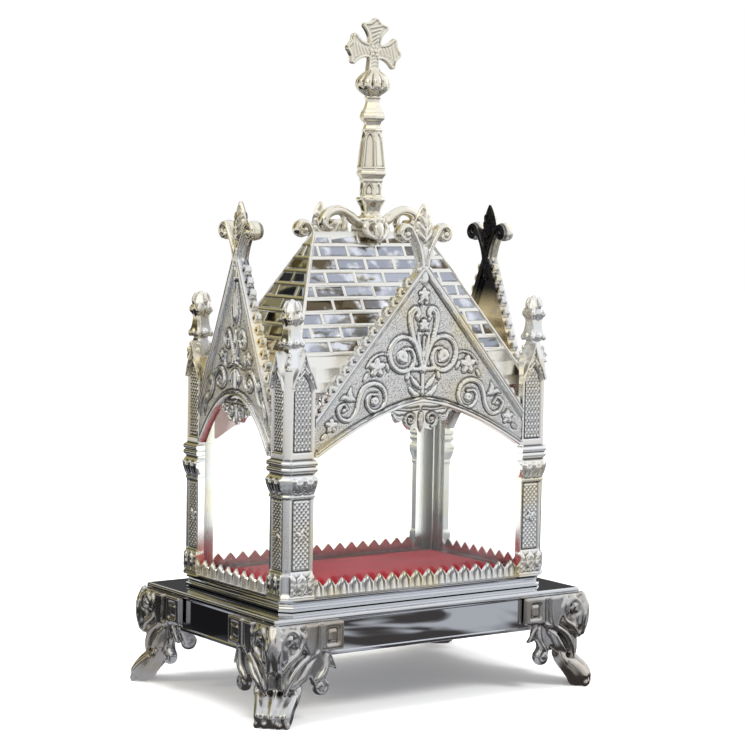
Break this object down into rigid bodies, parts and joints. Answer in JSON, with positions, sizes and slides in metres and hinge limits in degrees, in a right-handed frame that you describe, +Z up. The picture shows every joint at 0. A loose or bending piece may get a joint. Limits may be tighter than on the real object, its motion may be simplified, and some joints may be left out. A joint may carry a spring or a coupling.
{
  "type": "reliquary casket",
  "caption": "Gothic reliquary casket of plated brass: glazed chamber with gabled sides, corner piers, tiled hipped roof, spire and cross, on a footed plinth.",
  "frame": {"origin": "middle of the casket on the surface that its feet stand on", "axes": "X along the long side, -Y out of the front gable, +Z up"},
  "size_m": [0.2702, 0.1848, 0.45],
  "materials": {
    "plated_relief": "bright silver plate over brass, warm and darker in the recesses",
    "plated_mirror": "mirror-polished silver plate",
    "pane": "clear flat glass",
    "velvet": "crimson velvet pile"
  },
  "bodies": {
    "root": {"plinth": "plated_mirror", "foot_front_left": "plated_relief", "foot_front_right": "plated_relief", "foot_back_left": "plated_relief", "foot_back_right": "plated_relief", "casket_base": "plated_mirror", "velvet_floor": "velvet", "pier_front_left": "plated_relief", "pier_front_right": "plated_relief", "pier_back_left": "plated_relief", "pier_back_right": "plated_relief", "gable_front": "plated_relief", "gable_right": "plated_relief", "gable_back": "plated_relief", "gable_left": "plated_relief", "fringe_front": "plated_relief", "fringe_right": "plated_relief", "fringe_back": "plated_relief", "fringe_left": "plated_relief", "glass_front": "pane", "glass_right": "pane", "glass_back": "pane", "glass_left": "pane", "roof": "plated_mirror", "ridge_cresting": "plated_relief", "spire": "plated_relief"}
  },
  "joints": []
}
